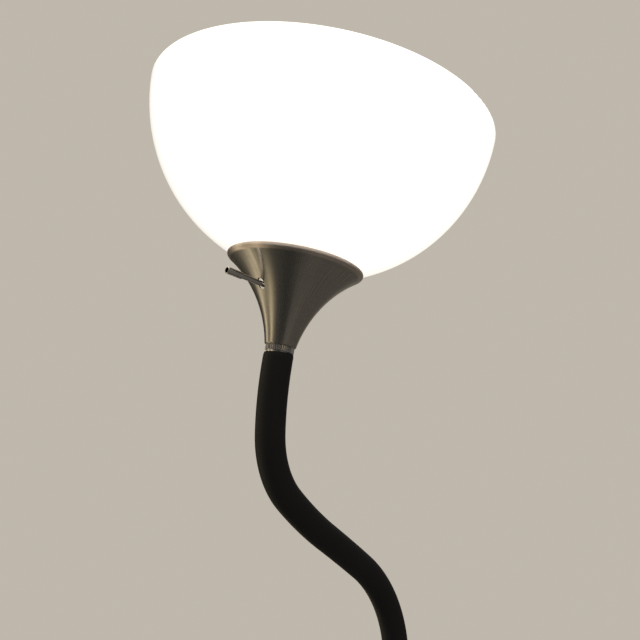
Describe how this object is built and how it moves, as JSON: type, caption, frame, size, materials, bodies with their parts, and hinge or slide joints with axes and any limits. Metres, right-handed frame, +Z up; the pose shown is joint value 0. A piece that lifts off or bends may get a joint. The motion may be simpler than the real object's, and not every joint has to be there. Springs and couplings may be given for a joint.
{
  "type": "torchiere floor lamp",
  "caption": "Floor lamp with a weighted round base, slim pole, bendable rubber-covered neck and an opal bowl shade in a flared metal cup with a turn switch.",
  "frame": {"origin": "centre of the floor pad's underside, on the floor under the pole", "axes": "+Z up along the pole, +X the way the head leans in the rest pose, +Y across the neck's bending plane"},
  "size_m": [0.3608, 0.28, 1.7394],
  "materials": {
    "pad": "matt felted",
    "cast_iron": "cast, primed",
    "brushed_nickel": "brushed round the axis, satin",
    "black_plastic": "matt",
    "zinc_steel": "zinc plated",
    "chrome": "polished",
    "phenolic": "moulded, satin",
    "brass": "bright",
    "opal": "opal, lightly glossy",
    "white_plastic": "satin",
    "frosted_glass": "frosted",
    "bulb_metal": "rolled",
    "black_glass": "glossy",
    "filament": "wire and glass",
    "black_rubber": "smooth, matt",
    "lead_jacket": "round flexible lead"
  },
  "bodies": {
    "stand": {"base_pad": "pad", "base_weight": "cast_iron", "base_cover": "brushed_nickel", "cord_bushing": "black_plastic", "base_stud": "zinc_steel", "base_nut": "zinc_steel", "base_washer": "zinc_steel", "pole_foot_plug": "zinc_steel", "pole_base_collar": "brushed_nickel", "pole_lower": "brushed_nickel", "pole_middle": "brushed_nickel", "pole_upper": "brushed_nickel", "coupler_lower": "chrome", "coupler_upper": "chrome", "neck_adapter": "chrome", "neck_fitting_lower": "chrome", "neck_sleeve_1": "black_rubber", "neck_core_1": "zinc_steel", "lamp_lead_1": "lead_jacket"},
    "head": {"neck_fitting_upper": "chrome", "knurled_ring": "chrome", "cup": "brushed_nickel", "lock_washer": "zinc_steel", "head_nut": "zinc_steel", "socket_cap": "phenolic", "socket_body": "phenolic", "screw_shell": "brass", "centre_contact": "brass", "terminal_screws": "brass", "shade": "opal", "shade_ring": "white_plastic", "bulb_glass": "frosted_glass", "bulb_cap": "bulb_metal", "bulb_contact": "black_glass", "bulb_filament": "filament", "neck_sleeve_8": "black_rubber", "neck_core_8": "zinc_steel", "lamp_lead_8": "lead_jacket"},
    "neck_link_2": {"neck_sleeve_2": "black_rubber", "neck_core_2": "zinc_steel", "lamp_lead_2": "lead_jacket"},
    "neck_link_3": {"neck_sleeve_3": "black_rubber", "neck_core_3": "zinc_steel", "lamp_lead_3": "lead_jacket"},
    "neck_link_4": {"neck_sleeve_4": "black_rubber", "neck_core_4": "zinc_steel", "lamp_lead_4": "lead_jacket"},
    "neck_link_5": {"neck_sleeve_5": "black_rubber", "neck_core_5": "zinc_steel", "lamp_lead_5": "lead_jacket"},
    "neck_link_6": {"neck_sleeve_6": "black_rubber", "neck_core_6": "zinc_steel", "lamp_lead_6": "lead_jacket"},
    "neck_link_7": {"neck_sleeve_7": "black_rubber", "neck_core_7": "zinc_steel", "lamp_lead_7": "lead_jacket"},
    "switch_stem": {"switch_shaft": "chrome", "switch_rotor": "black_plastic", "switch_knob": "chrome"}
  },
  "joints": [
    {"name": "neck_lean_1", "type": "hinge", "parent": "stand", "child": "neck_link_2", "pos_m": [0, 0, 1.2207], "axis": [0, 1, 0], "range_deg": [-28, 28]},
    {"name": "neck_side_1", "type": "hinge", "parent": "neck_link_2", "child": "neck_link_3", "pos_m": [0, 0, 1.2747], "axis": [1, 0, 0], "range_deg": [-25, 25]},
    {"name": "neck_lean_2", "type": "hinge", "parent": "neck_link_3", "child": "neck_link_4", "pos_m": [-0.01271, 0, 1.32665], "axis": [0, 1, 0], "range_deg": [-28, 28]},
    {"name": "neck_side_2", "type": "hinge", "parent": "neck_link_4", "child": "neck_link_5", "pos_m": [-0.04715, 0, 1.36769], "axis": [0.6088, 0, 0.7934], "range_deg": [-25, 25]},
    {"name": "neck_lean_3", "type": "hinge", "parent": "neck_link_5", "child": "neck_link_6", "pos_m": [-0.09055, 0, 1.39981], "axis": [0, 1, 0], "range_deg": [-28, 28]},
    {"name": "neck_side_3", "type": "hinge", "parent": "neck_link_6", "child": "neck_link_7", "pos_m": [-0.13172, 0, 1.43466], "axis": [0.7071, 0, 0.7071], "range_deg": [-25, 25]},
    {"name": "neck_lean_4", "type": "hinge", "parent": "neck_link_7", "child": "head", "pos_m": [-0.15074, 0, 1.48356], "axis": [0, 1, 0], "range_deg": [-28, 28]},
    {"name": "switch_turn", "type": "hinge", "parent": "head", "child": "switch_stem", "pos_m": [-0.13082, 0, 1.57822], "axis": [-0.9584, 0.1045, 0.2658], "continuous": true}
  ]
}
